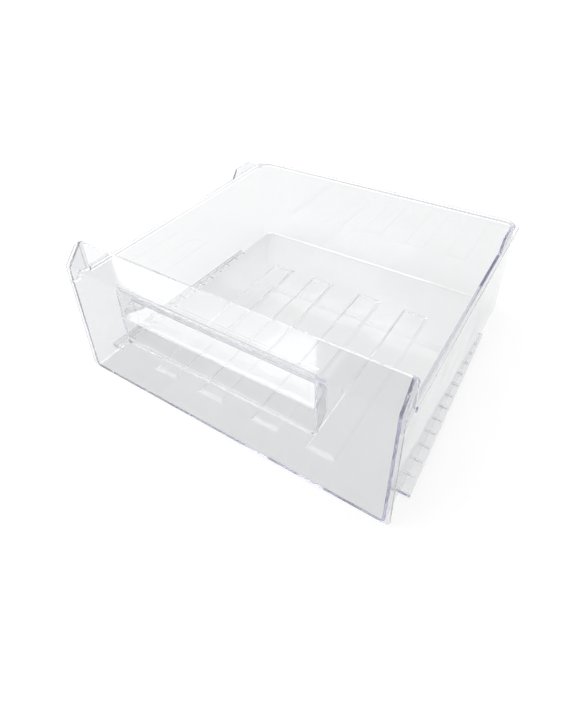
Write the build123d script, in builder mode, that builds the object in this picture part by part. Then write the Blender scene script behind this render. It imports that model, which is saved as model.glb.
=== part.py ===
from build123d import *
import os
from math import atan2, radians, sin, tan

# Clear one-piece drawer for a fridge or freezer, in millimetres

# Overall size and frame: the panel's foot is at the front, -Y, and the tub rests on z = 0
PANEL_WIDTH = 410.0
DEPTH = 388.0
HEIGHT = 172.0
FRONT = -DEPTH / 2
REAR = DEPTH / 2

# Sheet thicknesses
WALL = 3.0
FLOOR = 3.0
RIB = 1.6

# Tub walls, drawn at the floor and opening upwards by the draft; panel and rim stand out past them
OVERHANG = 5.2
BASE_WIDTH = PANEL_WIDTH - 2 * OVERHANG
BASE_REAR = REAR - OVERHANG
DRAFT = 0.6
CORNER_R = 16.0
FLOOR_R = 6.0
RIM_Z = HEIGHT - 37.5

# Rim: flange with a skirt that turns down, starting a little behind the panel
RIM_START = 33.0
RIM_T = 2.6
SKIRT_T = 2.0
SKIRT_H = 8.0
RIM_EDGE_R = 1.0
RIM_CORNER_R = CORNER_R + OVERHANG

# Front panel: upright foot, knee, and a head that leans back
KNEE_Y = 4.8
KNEE_Z = HEIGHT - 22.5
KNEE_R = 8.0
HEAD_Y = 26.0
PANEL_CORNER_R = 6.0
PANEL_EDGE_R = 0.9

# Ears: open-sided boxes that brace the panel's head at both ends
EAR_T = 2.4
EAR_Z = RIM_Z - 7.5
EAR_STEP_Y = 18.0
EAR_STEP = 4.5

# Handle: a groove over a lip, and a finger pocket that rises behind the lip
HANDLE_WIDTH = 244.6
HANDLE_T = 2.6
LIP_Y = 2.3
LIP_Z = KNEE_Z - 38.3
LIP_R = 1.0
FOLD_R = 5.0
MOUTH_Z = KNEE_Z - 73.5
MOUTH_R = 6.0
GROOVE_Y = 22.0
GROOVE_Z = KNEE_Z - 25.0
GROOVE_R = 3.5
POCKET_Y = 23.5
POCKET_Z = KNEE_Z - 58.5

# Tabs that stand up from the side walls near the back
TAB_START = 302.0
TAB_TOP_START = 312.0
TAB_TOP_END = 342.0
TAB_END = 364.0
TAB_H = 13.0
TAB_R = 4.0

# Side racks: a row of cells along the foot of each side wall, on a ledge that narrows towards the back
RACK_FRONT_WIDTH = BASE_WIDTH + 20.4
RACK_REAR_WIDTH = BASE_WIDTH + 4.4
RACK_START = 37.0
RACK_PITCH = 20.3
RACK_CELLS = 13
RACK_H = 6.5
RACK_LIP_H = 5.5
TOOTH_REACH = 6.0
TOOTH_H = 4.5

# Raised floor pads, two on each side of the middle
PAD_WIDTH = 36.5
PAD_X = (39.2, 110.2)
PAD_START = 33.0
PAD_END = 300.0
PAD_H = 1.8
PAD_BEVEL = 5.5
PAD_SIDE_BEVEL = 3.0

# Derived places
RACK_LENGTH = RACK_PITCH * RACK_CELLS
RACK_Y = FRONT + RACK_START
PAD_LENGTH = PAD_END - PAD_START
PAD_Y = FRONT + PAD_START + PAD_LENGTH / 2
OPEN = 60.0
LEAN = atan2(HEIGHT - KNEE_Z, HEAD_Y - KNEE_Y)
HEAD_BACK = HEAD_Y + WALL / sin(LEAN)
KNEE_BACK_Z = KNEE_Z - (HEAD_BACK - HEAD_Y - WALL) * tan(LEAN)
WINDOW_Z = MOUTH_Z - FOLD_R / 2
WINDOW_TOP_Z = KNEE_Z + GROOVE_R
WALL_TOP = BASE_WIDTH / 2 + RIM_Z * tan(radians(DRAFT))


def face_y(z):
    """Depth of the panel's outer face at height z, below the knee."""
    return FRONT + KNEE_Y * z / KNEE_Z


# Outer form of the tub, run on past the panel
with BuildPart() as tub:
    with BuildSketch() as outline:
        with Locations((0, (FRONT - OPEN + BASE_REAR) / 2)):
            Rectangle(BASE_WIDTH, BASE_REAR - FRONT + OPEN)
        fillet(outline.vertices().group_by(Axis.Y)[-1], CORNER_R)
    extrude(amount=RIM_Z, taper=-DRAFT)
    fillet(tub.faces().sort_by(Axis.Z)[0].edges().sort_by(Axis.Y)[1:], FLOOR_R)

# Hollow of the tub, run on further past the panel and above the rim
with BuildPart() as hollow:
    with BuildSketch(Plane.XY.offset(FLOOR)) as inside:
        with Locations((0, (FRONT - 2 * OPEN + BASE_REAR - WALL) / 2)):
            Rectangle(BASE_WIDTH - 2 * WALL, BASE_REAR - WALL - FRONT + 2 * OPEN)
        fillet(inside.vertices().group_by(Axis.Y)[-1], CORNER_R - WALL)
    extrude(amount=HEIGHT, taper=-DRAFT)
    fillet(hollow.faces().sort_by(Axis.Z)[0].edges().sort_by(Axis.Y)[1:], FLOOR_R - WALL)

# Rim flange with its skirt; the tub itself fills the middle later
with BuildPart() as rim:
    with BuildSketch(Plane.XY.offset(RIM_Z - SKIRT_H)) as rim_outline:
        with Locations((0, (FRONT + RIM_START + REAR) / 2)):
            Rectangle(PANEL_WIDTH, DEPTH - RIM_START)
        fillet(rim_outline.vertices().group_by(Axis.Y)[-1], RIM_CORNER_R)
    extrude(amount=SKIRT_H)
    fillet(rim.faces().sort_by(Axis.Z)[-1].edges().sort_by(Axis.Y)[1:], RIM_EDGE_R)
    with BuildSketch(Plane.XY.offset(RIM_Z - SKIRT_H)) as under:
        with Locations((0, (FRONT + RIM_START - OPEN + REAR - SKIRT_T) / 2)):
            Rectangle(PANEL_WIDTH - 2 * SKIRT_T, DEPTH - RIM_START - SKIRT_T + OPEN)
        fillet(under.vertices().group_by(Axis.Y)[-1], RIM_CORNER_R - SKIRT_T)
    extrude(amount=SKIRT_H - RIM_T, mode=Mode.SUBTRACT)

# Upright tabs that carry the side walls on above the rim
with BuildPart() as tab:
    with BuildSketch(Plane.YZ.offset(WALL_TOP - WALL)) as tab_side:
        with BuildLine():
            Polyline(
                (FRONT + TAB_START, RIM_Z - SKIRT_H),
                (FRONT + TAB_START, RIM_Z),
                (FRONT + TAB_TOP_START, RIM_Z + TAB_H),
                (FRONT + TAB_TOP_END, RIM_Z + TAB_H),
                (FRONT + TAB_END, RIM_Z),
                (FRONT + TAB_END, RIM_Z - SKIRT_H),
                close=True,
            )
        make_face()
        fillet(tab_side.vertices().group_by(Axis.Y)[-1], TAB_R)
    extrude(amount=WALL)
    mirror(about=Plane.YZ)

# Ledge, outer lip and cross ribs of the right rack, then the same on the left
with BuildPart() as rack:
    with BuildSketch() as ledge:
        with BuildLine():
            Polyline(
                (BASE_WIDTH / 2 - 2 * FLOOR_R, RACK_Y),
                (RACK_FRONT_WIDTH / 2, RACK_Y),
                (RACK_REAR_WIDTH / 2, RACK_Y + RACK_LENGTH),
                (BASE_WIDTH / 2 - 2 * FLOOR_R, RACK_Y + RACK_LENGTH),
                close=True,
            )
        make_face()
    extrude(amount=RACK_LIP_H)
    with BuildSketch(Plane.XY.offset(FLOOR)) as trough:
        with BuildLine():
            Polyline(
                (BASE_WIDTH / 2 - 3 * FLOOR_R, RACK_Y - OPEN),
                (RACK_FRONT_WIDTH / 2 - RIB, RACK_Y - OPEN),
                (RACK_FRONT_WIDTH / 2 - RIB, RACK_Y),
                (RACK_REAR_WIDTH / 2 - RIB, RACK_Y + RACK_LENGTH),
                (RACK_REAR_WIDTH / 2 - RIB, RACK_Y + RACK_LENGTH + OPEN),
                (BASE_WIDTH / 2 - 3 * FLOOR_R, RACK_Y + RACK_LENGTH + OPEN),
                close=True,
            )
        make_face()
    extrude(amount=RACK_H, mode=Mode.SUBTRACT)
    for cell in range(RACK_CELLS + 1):
        along = cell / RACK_CELLS
        reach = (RACK_FRONT_WIDTH + (RACK_REAR_WIDTH - RACK_FRONT_WIDTH) * along) / 2
        rib_y = RACK_Y + RIB / 2 + (RACK_LENGTH - RIB) * along
        with BuildSketch(Plane.XZ.offset(-rib_y)) as rib:
            with BuildLine():
                Polyline(
                    (BASE_WIDTH / 2 - 2 * FLOOR_R, 0),
                    (reach - RIB / 2, 0),
                    (reach - RIB / 2, RACK_LIP_H - RIB / 2),
                    (BASE_WIDTH / 2 + RIB / 2, RACK_H),
                    (BASE_WIDTH / 2 - 2 * FLOOR_R, RACK_H),
                    close=True,
                )
            make_face()
        extrude(amount=RIB / 2, both=True)
    mirror(about=Plane.YZ)

# Small gussets in the corner of floor and side wall, in line with the rack's ribs
with BuildPart() as teeth:
    for cell in range(RACK_CELLS + 1):
        rib_y = RACK_Y + RIB / 2 + (RACK_LENGTH - RIB) * cell / RACK_CELLS
        with BuildSketch(Plane.XZ.offset(-rib_y)) as tooth:
            with BuildLine():
                Polyline(
                    (BASE_WIDTH / 2 - WALL / 2, FLOOR / 2),
                    (BASE_WIDTH / 2 - WALL - TOOTH_REACH, FLOOR / 2),
                    (BASE_WIDTH / 2 - WALL - TOOTH_REACH, FLOOR),
                    (BASE_WIDTH / 2 - WALL, FLOOR + TOOTH_H),
                    (BASE_WIDTH / 2 - WALL / 2, FLOOR + TOOTH_H),
                    close=True,
                )
            make_face()
        extrude(amount=RIB / 2, both=True)
    mirror(about=Plane.YZ)

# Raised floor pads that slope off on all four sides; the hollows under them are the same form, lowered
with BuildPart() as pads:
    for pad_x in PAD_X:
        with BuildSketch(Plane.XY.offset(FLOOR)):
            with Locations((pad_x, PAD_Y)):
                Rectangle(PAD_WIDTH, PAD_LENGTH)
        with BuildSketch(Plane.XY.offset(FLOOR + PAD_H)):
            with Locations((pad_x, PAD_Y)):
                Rectangle(PAD_WIDTH - 2 * PAD_SIDE_BEVEL, PAD_LENGTH - 2 * PAD_BEVEL)
        loft()
    mirror(about=Plane.YZ)

# Space ahead of the middle of the panel sheet, which the tub walls keep clear of
with BuildPart() as ahead:
    with BuildSketch(Plane.YZ) as ahead_side:
        with BuildLine():
            Polyline(
                (FRONT - 4 * OPEN, -OPEN),
                (face_y(-OPEN) + WALL / 2, -OPEN),
                (face_y(KNEE_Z) + WALL / 2, KNEE_Z),
                (face_y(KNEE_Z) + WALL / 2, 2 * HEIGHT),
                (FRONT - 4 * OPEN, 2 * HEIGHT),
                close=True,
            )
        make_face()
    extrude(amount=PANEL_WIDTH, both=True)

# Ear that braces the right end of the panel's head, open to the outside, then the same on the left;
# both keep inside the panel's rounded edge
with BuildPart() as ear:
    with BuildSketch(Plane.YZ.offset(WALL_TOP - WALL)) as ear_side:
        with BuildLine():
            Polyline(
                (face_y(EAR_Z) + WALL / 2, EAR_Z),
                (face_y(KNEE_Z) + WALL / 2, KNEE_Z),
                (FRONT + HEAD_Y + WALL / 2, HEIGHT),
                (FRONT + HEAD_BACK, HEIGHT),
                (FRONT + HEAD_BACK, EAR_Z + EAR_STEP),
                (FRONT + EAR_STEP_Y, EAR_Z + EAR_STEP),
                (FRONT + EAR_STEP_Y, EAR_Z),
                close=True,
            )
        make_face()
    extrude(amount=PANEL_WIDTH / 2 - WALL_TOP + WALL)
    with BuildSketch(Plane.YZ.offset(WALL_TOP)) as ear_room:
        with BuildLine():
            Polyline(
                (FRONT - OPEN, EAR_Z + EAR_T),
                (FRONT - OPEN, HEIGHT + OPEN),
                (FRONT + HEAD_BACK - EAR_T, HEIGHT + OPEN),
                (FRONT + HEAD_BACK - EAR_T, EAR_Z + EAR_STEP + EAR_T),
                (FRONT + EAR_STEP_Y - EAR_T, EAR_Z + EAR_STEP + EAR_T),
                (FRONT + EAR_STEP_Y - EAR_T, EAR_Z + EAR_T),
                close=True,
            )
        make_face()
    extrude(amount=OPEN, mode=Mode.SUBTRACT)
    mirror(about=Plane.YZ)
    with BuildSketch(Plane.XZ) as ear_outline:
        with Locations((0, HEIGHT / 2)):
            RectangleRounded(
                PANEL_WIDTH - 2 * PANEL_EDGE_R, HEIGHT - 2 * PANEL_EDGE_R, PANEL_CORNER_R - PANEL_EDGE_R)
    extrude(amount=DEPTH, mode=Mode.INTERSECT)

# Handle: groove wall, shelf down to the lip, pocket back and pocket floor, closed by a cheek at each end
with BuildPart() as handle:
    ridge = (face_y(KNEE_Z) + WALL / 2, (KNEE_Z + KNEE_BACK_Z) / 2)
    above_ridge = (ridge[0] + 2 * WALL, ridge[1] + 2 * WALL * tan(LEAN))
    groove = (FRONT + GROOVE_Y, GROOVE_Z)
    lip = (FRONT + LIP_Y, LIP_Z)
    pocket = (FRONT + POCKET_Y, POCKET_Z)
    mouth = (face_y(MOUTH_Z) + WALL / 2, MOUTH_Z)
    below_mouth = (face_y(MOUTH_Z - FOLD_R) + WALL / 2, MOUTH_Z - FOLD_R)
    with BuildSketch(Plane.YZ) as handle_side:
        with BuildLine():
            FilletPolyline(above_ridge, ridge, groove, lip, radius=GROOVE_R)
        trace(line_width=HANDLE_T)
        fillet(handle_side.vertices().group_by(Axis.X)[0:2], LIP_R)
        with BuildLine():
            FilletPolyline(groove, pocket, mouth, below_mouth, radius=FOLD_R)
        trace(line_width=HANDLE_T)
    extrude(amount=HANDLE_WIDTH / 2, both=True)
    for side in (1, -1):
        with BuildSketch(Plane.YZ.offset(side * (HANDLE_WIDTH + HANDLE_T) / 2)) as cheek:
            with BuildLine():
                FilletPolyline(groove, pocket, mouth, radius=FOLD_R)
                Polyline(mouth, ridge, groove)
            make_face()
        extrude(amount=HANDLE_T / 2, both=True)

# Front panel: bent sheet with its outer edges rounded, and a window for the handle
with BuildPart() as panel:
    with BuildSketch(Plane.YZ) as panel_side:
        with BuildLine():
            Polyline(
                (FRONT, 0),
                (face_y(KNEE_Z), KNEE_Z),
                (FRONT + HEAD_Y, HEIGHT),
                (FRONT + HEAD_BACK, HEIGHT),
                (face_y(KNEE_Z) + WALL, KNEE_BACK_Z),
                (FRONT + WALL, 0),
                close=True,
            )
        make_face()
        fillet(panel_side.vertices().group_by(Axis.Y)[1:3], KNEE_R)
    extrude(amount=PANEL_WIDTH / 2, both=True)
    with BuildSketch(Plane.XZ) as panel_outline:
        with Locations((0, HEIGHT / 2)):
            RectangleRounded(PANEL_WIDTH, HEIGHT, PANEL_CORNER_R)
    extrude(amount=DEPTH, mode=Mode.INTERSECT)
    knee_lines = panel.edges().filter_by(Axis.X).filter_by_position(Axis.Z, WALL, HEIGHT - WALL)
    outer_edges = panel.edges().filter_by(lambda edge: edge.length > 1.5 * WALL)
    fillet(outer_edges - knee_lines, PANEL_EDGE_R)
    with BuildSketch(Plane.XZ) as window:
        with Locations((0, (WINDOW_Z + WINDOW_TOP_Z) / 2)):
            Rectangle(HANDLE_WIDTH, WINDOW_TOP_Z - WINDOW_Z)
        fillet(window.vertices().group_by(Axis.Y)[0], MOUTH_R)
    extrude(amount=DEPTH, mode=Mode.SUBTRACT)
    add(ear.part)

# The whole moulding
with BuildPart() as drawer:
    add(tub.part)
    add(rim.part)
    add(tab.part)
    add(rack.part)
    add(hollow.part, mode=Mode.SUBTRACT)
    add(ahead.part, mode=Mode.SUBTRACT)
    add(panel.part)
    add(handle.part)
    add(teeth.part)
    add(pads.part)
    add(pads.part.moved(Location((0, 0, -FLOOR))), mode=Mode.SUBTRACT)

os.makedirs("parts", exist_ok=True)
drawer.part.label = "drawer"
export_step(drawer.part, "parts/drawer.step")
print("solids", len(drawer.part.solids()), "volume", round(drawer.part.volume), "box", drawer.part.bounding_box().size)
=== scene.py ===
"""Looks for a clear moulded fridge drawer, laid out as an add-on and run as a script."""

import math

import bmesh
import bpy
from bpy.props import FloatProperty, FloatVectorProperty, PointerProperty
from mathutils import Matrix


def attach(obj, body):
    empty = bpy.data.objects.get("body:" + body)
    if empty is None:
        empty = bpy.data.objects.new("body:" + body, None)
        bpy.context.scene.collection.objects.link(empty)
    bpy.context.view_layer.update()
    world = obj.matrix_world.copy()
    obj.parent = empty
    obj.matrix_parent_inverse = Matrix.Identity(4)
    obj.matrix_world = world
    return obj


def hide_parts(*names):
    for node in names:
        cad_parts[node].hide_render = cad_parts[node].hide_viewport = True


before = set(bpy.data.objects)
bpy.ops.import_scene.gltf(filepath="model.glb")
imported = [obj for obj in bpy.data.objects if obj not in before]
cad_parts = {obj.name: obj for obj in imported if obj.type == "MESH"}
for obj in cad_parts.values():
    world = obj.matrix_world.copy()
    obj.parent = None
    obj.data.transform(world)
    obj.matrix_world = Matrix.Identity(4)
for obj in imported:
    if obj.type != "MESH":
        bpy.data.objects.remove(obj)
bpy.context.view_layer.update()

bl_info = {
    "name": "Clear Drawer",
    "version": (1, 0, 0),
    "blender": (4, 5, 0),
    "location": "View3D > Sidebar > Drawer",
    "description": "Finishes a clear moulded fridge drawer and sets up its studio",
    "category": "Object",
}

# Shading of the mesh, in metres and radians.
MERGE_DISTANCE = 2e-5
FLAT_ANGLE = math.radians(0.5)
FOLD_ANGLE = math.radians(35)
SHALLOW_ANGLE = math.radians(8)
LEVEL_NORMAL = 0.8
BROAD_WIDTH = 0.0026
AREA_WEIGHT = 100

# Skin of the plastic: the noise that turns to haze, and the lightest tone against the tint.
HAZE_RANGE = (0.3, 0.7)
LIGHT_TONE = 1.03
WAVE_DETAIL = 1.0
CLOUD_DETAIL = 3.0

# Floor: its own grey, and the glow near the drawer and far from it, where 1 is white; the lower
# glow near the drawer is painted shade, which offsets the lamps' light there and darkens the
# floor around and under the drawer.
FLOOR_GREY = 0.22
FLOOR_ROUGHNESS = 0.9
PAINTED_SHADE_REACH = (0.5, 1.5)
PAINTED_SHADE_GLOW_LEVEL = (0.80, 0.90)

LIGHT_BOUNCES = 128
CLIP_START = 0.01

# Lamps in watts; they hang level, each where its mirror image is wanted on the drawer.
LAMP_HEIGHT = 1.4
LAMPS = (
    ("lamp_over", (-0.85, -0.60), (1.2, 1.2), 13.5),
    ("lamp_front", (-1.38, -1.83), (1.4, 0.9), 8.5),
    ("lamp_strip", (-0.85, 0.26), (2.4, 0.48), 15.0),
    ("lamp_spot", (-0.78, 1.13), (0.40, 0.32), 0.35),
    ("lamp_patch", (-0.56, 1.64), (0.26, 0.28), 0.2),
    ("lamp_rear", (-0.85, 1.75), (1.4, 0.6), 1.3),
    ("lamp_rim_rear", (-1.0, 2.54), (2.2, 0.3), 4.0),
    ("lamp_rim_left", (-1.95, 1.65), (0.3, 1.8), 3.2),
)


class ClearPlastic(bpy.types.PropertyGroup):
    """Finish of the clear moulding."""

    tint: FloatVectorProperty(
        name="Tint", description="Colour that one wall leaves in the light",
        subtype="COLOR", size=3, min=0.0, max=1.0, default=(0.835, 0.840, 0.844))
    edge_tint: FloatVectorProperty(
        name="Edge Tint", description="Colour that gathers where light runs along a wall",
        subtype="COLOR", size=3, min=0.0, max=1.0, default=(0.36, 0.33, 0.58))
    edge_density: FloatProperty(
        name="Edge Density", description="How fast the edge tint gathers, per metre",
        min=0.0, default=2.0)
    index: FloatProperty(
        name="Index", description="Index of refraction of the plastic",
        min=1.0, default=1.59)
    polish: FloatProperty(
        name="Polish", description="Roughness of the moulded skin at its clearest",
        subtype="FACTOR", min=0.0, max=1.0, default=0.02)
    haze: FloatProperty(
        name="Haze", description="Roughness of the skin where it is worn", subtype="FACTOR",
        min=0.0, max=1.0, default=0.05)
    haze_size: FloatProperty(
        name="Haze Size", description="Width of one worn patch", unit="LENGTH",
        min=0.001, default=0.03)
    ripple: FloatProperty(
        name="Ripple", description="Depth of the slow waves in the moulded skin",
        unit="LENGTH", min=0.0, default=0.0003)
    ripple_size: FloatProperty(
        name="Ripple Size", description="Width of one slow wave", unit="LENGTH",
        min=0.001, default=0.06)


class Studio(bpy.types.PropertyGroup):
    """Floor, light and camera."""

    camera_place: FloatVectorProperty(
        name="Camera", description="Place of the camera", subtype="TRANSLATION", unit="LENGTH",
        size=3, default=(0.28155, -0.45331, 0.47788))
    camera_turn: FloatVectorProperty(
        name="Turn", description="Turn of the camera", subtype="EULER", unit="ROTATION", size=3,
        default=tuple(math.radians(a) for a in (54.5182, 1.4858, 32.5639)))
    lens: FloatProperty(
        name="Lens", description="Focal length", subtype="DISTANCE_CAMERA",
        min=1.0, default=26.805)
    shift: FloatVectorProperty(
        name="Shift", description="Shift of the picture", size=2, default=(-0.0042, -0.1109))
    floor_size: FloatProperty(
        name="Floor", description="Width of the floor", unit="LENGTH", min=1.0, default=12.0)
    floor_drop: FloatProperty(
        name="Floor Drop", description="Air left under the drawer", unit="LENGTH",
        min=0.0, default=0.001)
    world_level: FloatProperty(
        name="Sky", description="Level of the light from all round", min=0.0, default=0.7)


def socket_link(tree, source, output, target, value):
    """Link one node's output to another's input by name."""
    tree.links.new(source.outputs[output], target.inputs[value])


def clear_plastic_material(look):
    """Clear plastic: a faint tint, slow ripples, and colour that gathers in the edges."""
    material = bpy.data.materials.new("clear_plastic")
    material.use_nodes = True
    tree = material.node_tree
    tree.nodes.clear()
    out = tree.nodes.new("ShaderNodeOutputMaterial")
    skin = tree.nodes.new("ShaderNodeBsdfPrincipled")
    skin.inputs["IOR"].default_value = look.index
    skin.inputs["Transmission Weight"].default_value = 1.0
    place = tree.nodes.new("ShaderNodeTexCoord")
    waves = tree.nodes.new("ShaderNodeTexNoise")
    waves.inputs["Scale"].default_value = 1.0 / look.ripple_size
    waves.inputs["Detail"].default_value = WAVE_DETAIL
    bump = tree.nodes.new("ShaderNodeBump")
    bump.inputs["Strength"].default_value = 1.0
    bump.inputs["Distance"].default_value = look.ripple
    cloud = tree.nodes.new("ShaderNodeTexNoise")
    cloud.inputs["Scale"].default_value = 1.0 / look.haze_size
    cloud.inputs["Detail"].default_value = CLOUD_DETAIL
    tone = tree.nodes.new("ShaderNodeMix")
    tone.data_type = "RGBA"
    tone.inputs["A"].default_value = (*look.tint, 1.0)
    tone.inputs["B"].default_value = (
        *(min(1.0, value * LIGHT_TONE) for value in look.tint), 1.0)
    haze = tree.nodes.new("ShaderNodeMapRange")
    haze.inputs["From Min"].default_value = HAZE_RANGE[0]
    haze.inputs["From Max"].default_value = HAZE_RANGE[1]
    haze.inputs["To Min"].default_value = look.polish
    haze.inputs["To Max"].default_value = look.haze
    inside = tree.nodes.new("ShaderNodeVolumeAbsorption")
    inside.inputs["Color"].default_value = (*look.edge_tint, 1.0)
    inside.inputs["Density"].default_value = look.edge_density
    socket_link(tree, place, "Object", waves, "Vector")
    socket_link(tree, place, "Object", cloud, "Vector")
    socket_link(tree, waves, "Fac", bump, "Height")
    socket_link(tree, cloud, "Fac", haze, "Value")
    socket_link(tree, cloud, "Fac", tone, "Factor")
    socket_link(tree, tone, "Result", skin, "Base Color")
    socket_link(tree, haze, "Result", skin, "Roughness")
    socket_link(tree, bump, "Normal", skin, "Normal")
    socket_link(tree, skin, "BSDF", out, "Surface")
    socket_link(tree, inside, "Volume", out, "Volume")
    return material


def seen_directly(tree):
    """One for a camera, mirror or clear-glass ray, and zero for rays that only carry light."""
    rays = tree.nodes.new("ShaderNodeLightPath")
    total = None
    for name in ("Is Camera Ray", "Is Glossy Ray", "Is Transmission Ray"):
        if total is None:
            total = rays.outputs[name]
            continue
        either = tree.nodes.new("ShaderNodeMath")
        either.operation = "MAXIMUM"
        tree.links.new(total, either.inputs[0])
        tree.links.new(rays.outputs[name], either.inputs[1])
        total = either.outputs[0]
    return total


def is_fold(edge):
    """True for a sharp edge, or a shallow one between two broad, nearly level faces."""
    angle = edge.calc_face_angle(math.pi)
    broad = all(
        abs(face.normal.z) > LEVEL_NORMAL
        and face.calc_area() > BROAD_WIDTH * max(side.calc_length() for side in face.edges)
        for face in edge.link_faces)
    return angle > FOLD_ANGLE or (broad and angle > SHALLOW_ANGLE)


class DRAWER_OT_moulding(bpy.types.Operator):
    """Give the one-piece moulding its clear plastic"""

    bl_idname = "drawer.moulding"
    bl_label = "Clear Moulding"

    def execute(self, context):
        look = context.scene.drawer_plastic
        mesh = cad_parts["drawer"].data.copy()
        mesh.name = "moulding"
        shape = bmesh.new()
        shape.from_mesh(mesh)
        bmesh.ops.remove_doubles(shape, verts=shape.verts, dist=MERGE_DISTANCE)
        bmesh.ops.dissolve_limit(
            shape, angle_limit=FLAT_ANGLE, verts=shape.verts, edges=shape.edges,
            delimit={"NORMAL"})
        for face in shape.faces:
            face.smooth = True
        for edge in shape.edges:
            edge.smooth = not is_fold(edge)
        shape.to_mesh(mesh)
        shape.free()
        mesh.materials.clear()
        mesh.materials.append(clear_plastic_material(look))
        moulding = bpy.data.objects.new("moulding", mesh)
        context.scene.collection.objects.link(moulding)
        even = moulding.modifiers.new("even_faces", "WEIGHTED_NORMAL")
        even.weight = AREA_WEIGHT
        even.keep_sharp = True
        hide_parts("drawer")
        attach(moulding, "root")
        return {"FINISHED"}


class DRAWER_OT_stage(bpy.types.Operator):
    """Set up the pale floor, the soft light and the camera"""

    bl_idname = "drawer.stage"
    bl_label = "Studio"

    def floor(self, context, studio):
        """White floor that keeps the shadow, with its glow dimmed near the drawer as painted
        shade.
        """
        mesh = bpy.data.meshes.new("floor")
        shape = bmesh.new()
        bmesh.ops.create_grid(shape, x_segments=1, y_segments=1, size=studio.floor_size / 2)
        shape.to_mesh(mesh)
        shape.free()
        mesh.transform(Matrix.Translation((0, 0, -studio.floor_drop)))
        floor = bpy.data.objects.new("floor", mesh)
        context.scene.collection.objects.link(floor)
        material = bpy.data.materials.new("studio_floor")
        material.use_nodes = True
        tree = material.node_tree
        skin = tree.nodes["Principled BSDF"]
        skin.inputs["Base Color"].default_value = (FLOOR_GREY, FLOOR_GREY, FLOOR_GREY, 1.0)
        skin.inputs["Roughness"].default_value = FLOOR_ROUGHNESS
        skin.inputs["Specular IOR Level"].default_value = 0.0
        skin.inputs["Emission Color"].default_value = (1.0, 1.0, 1.0, 1.0)
        place = tree.nodes.new("ShaderNodeTexCoord")
        distance = tree.nodes.new("ShaderNodeVectorMath")
        distance.operation = "LENGTH"
        # Painted shade: the floor's glow dims towards the drawer, from its far level down to
        # its near level, partly offsetting the lamps' light there.
        painted_shade_glow = tree.nodes.new("ShaderNodeMapRange")
        painted_shade_glow.inputs["From Min"].default_value = PAINTED_SHADE_REACH[0]
        painted_shade_glow.inputs["From Max"].default_value = PAINTED_SHADE_REACH[1]
        painted_shade_glow.inputs["To Min"].default_value = PAINTED_SHADE_GLOW_LEVEL[0]
        painted_shade_glow.inputs["To Max"].default_value = PAINTED_SHADE_GLOW_LEVEL[1]
        glow = tree.nodes.new("ShaderNodeMath")
        glow.operation = "MULTIPLY"
        tree.links.new(place.outputs["Object"], distance.inputs[0])
        tree.links.new(distance.outputs["Value"], painted_shade_glow.inputs["Value"])
        tree.links.new(painted_shade_glow.outputs["Result"], glow.inputs[1])
        tree.links.new(seen_directly(tree), glow.inputs[0])
        tree.links.new(glow.outputs[0], skin.inputs["Emission Strength"])
        mesh.materials.append(material)

    def sky(self, context, studio):
        """Even light, and a white background seen directly or through the plastic."""
        world = bpy.data.worlds.new("studio_sky")
        world.use_nodes = True
        tree = world.node_tree
        back = tree.nodes["Background"]
        back.inputs["Color"].default_value = (1.0, 1.0, 1.0, 1.0)
        level = tree.nodes.new("ShaderNodeMapRange")
        level.inputs["To Min"].default_value = studio.world_level
        level.inputs["To Max"].default_value = 1.0
        tree.links.new(seen_directly(tree), level.inputs["Value"])
        tree.links.new(level.outputs["Result"], back.inputs["Strength"])
        context.scene.world = world

    def lamp(self, context, name, place, size, power):
        """One soft area lamp that shines straight down."""
        light = bpy.data.lights.new(name, "AREA")
        light.shape = "RECTANGLE"
        light.size, light.size_y = size
        light.energy = power
        lamp = bpy.data.objects.new(name, light)
        lamp.location = (*place, LAMP_HEIGHT)
        context.scene.collection.objects.link(lamp)

    def camera(self, context, studio):
        """Camera at the front right, looking down into the drawer."""
        lens = bpy.data.cameras.new("camera")
        lens.lens = studio.lens
        lens.shift_x, lens.shift_y = studio.shift
        lens.clip_start = CLIP_START
        camera = bpy.data.objects.new("camera", lens)
        camera.location = studio.camera_place
        camera.rotation_euler = studio.camera_turn
        context.scene.collection.objects.link(camera)
        context.scene.camera = camera

    def execute(self, context):
        studio = context.scene.drawer_studio
        context.scene.view_settings.view_transform = "Standard"
        context.scene.cycles.max_bounces = LIGHT_BOUNCES
        context.scene.cycles.transmission_bounces = LIGHT_BOUNCES
        context.scene.cycles.glossy_bounces = LIGHT_BOUNCES
        self.floor(context, studio)
        self.sky(context, studio)
        for name, place, size, power in LAMPS:
            self.lamp(context, name, place, size, power)
        self.camera(context, studio)
        return {"FINISHED"}


class DRAWER_PT_sidebar(bpy.types.Panel):
    """Lists the steps and their sizes and colours"""

    bl_idname = "DRAWER_PT_sidebar"
    bl_label = "Clear Drawer"
    bl_space_type = "VIEW_3D"
    bl_region_type = "UI"
    bl_category = "Drawer"

    def draw(self, context):
        layout = self.layout
        for group, steps in ((context.scene.drawer_plastic, ("drawer.moulding",)),
                             (context.scene.drawer_studio, ("drawer.stage",))):
            box = layout.box()
            for name in group.__annotations__:
                box.prop(group, name)
            for step in steps:
                box.operator(step)


CLASSES = (ClearPlastic, Studio, DRAWER_OT_moulding, DRAWER_OT_stage, DRAWER_PT_sidebar)


def register():
    for cls in CLASSES:
        bpy.utils.register_class(cls)
    bpy.types.Scene.drawer_plastic = PointerProperty(type=ClearPlastic)
    bpy.types.Scene.drawer_studio = PointerProperty(type=Studio)


def unregister():
    del bpy.types.Scene.drawer_studio
    del bpy.types.Scene.drawer_plastic
    for cls in reversed(CLASSES):
        bpy.utils.unregister_class(cls)


def main():
    register()
    bpy.ops.drawer.moulding()
    bpy.ops.drawer.stage()


if __name__ == "__main__":
    main()
